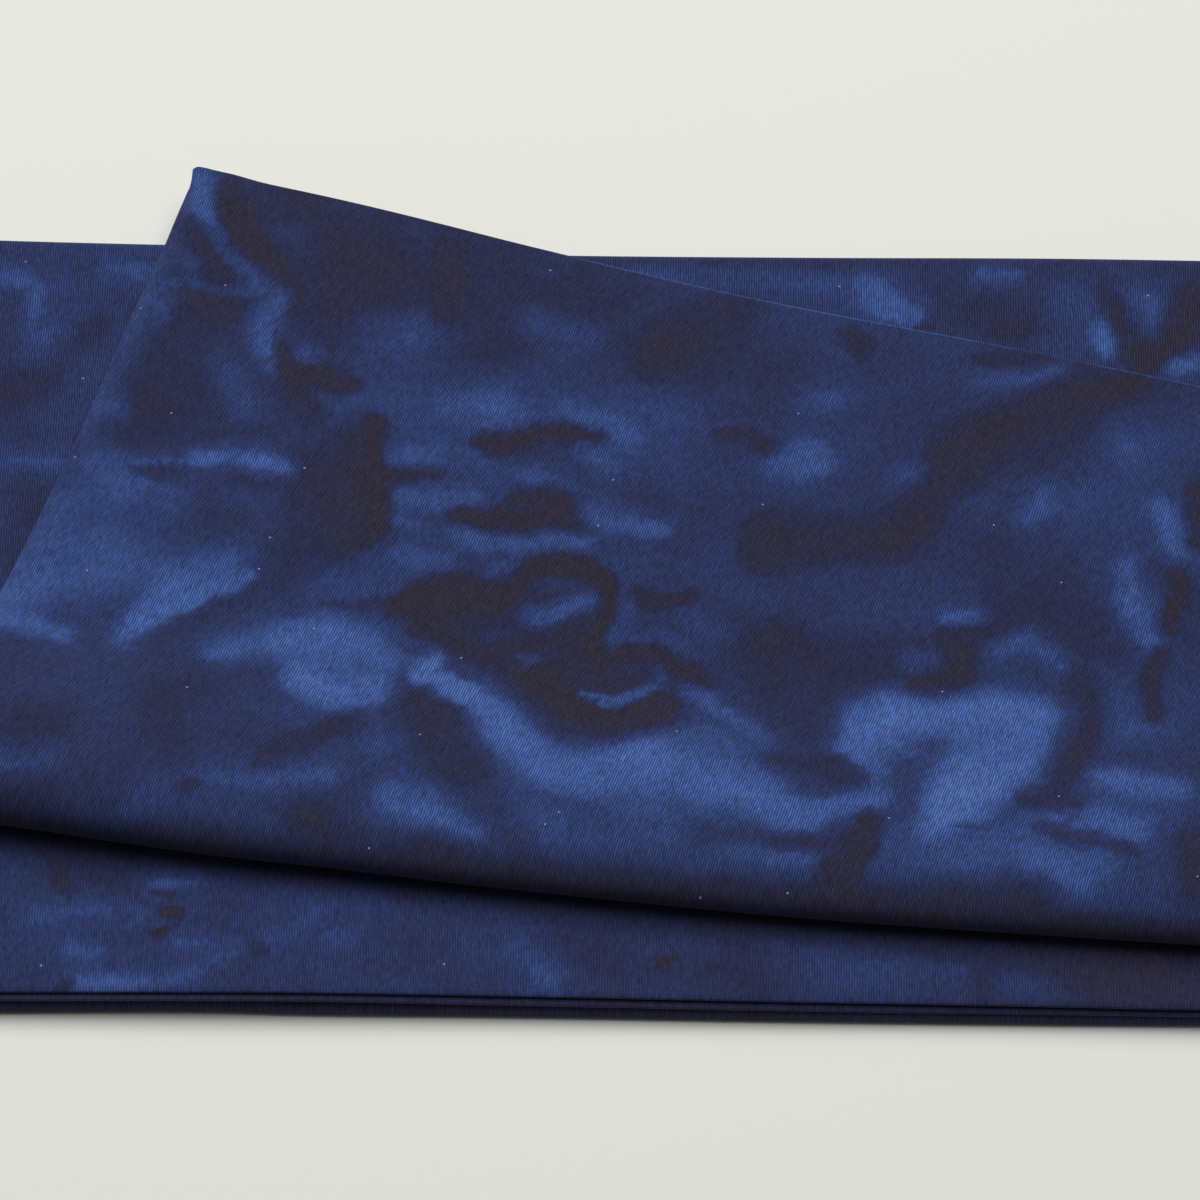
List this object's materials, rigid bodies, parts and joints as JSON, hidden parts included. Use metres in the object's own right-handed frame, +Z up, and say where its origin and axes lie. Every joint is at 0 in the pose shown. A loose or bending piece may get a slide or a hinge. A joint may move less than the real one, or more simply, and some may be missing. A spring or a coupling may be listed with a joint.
{
  "type": "folded batik cloth",
  "caption": "Hand-dyed indigo cotton cut, doubled and folded back and forth into a flat strip, with its top leaf turned back askew over a soft roll.",
  "frame": {"origin": "on the surface that the cloth lies on, under the middle of the whole cloth's box", "axes": "+X along the folded strip, to the right as seen from its near edge; +Y across the strip, from its near edge to its far edge; +Z up"},
  "size_m": [0.2746, 0.1642, 0.0137],
  "materials": {
    "indigo_cotton": "matt, mottled hand dye on plain weave"
  },
  "bodies": {
    "root": {"batik_cloth": "indigo_cotton"}
  },
  "joints": []
}
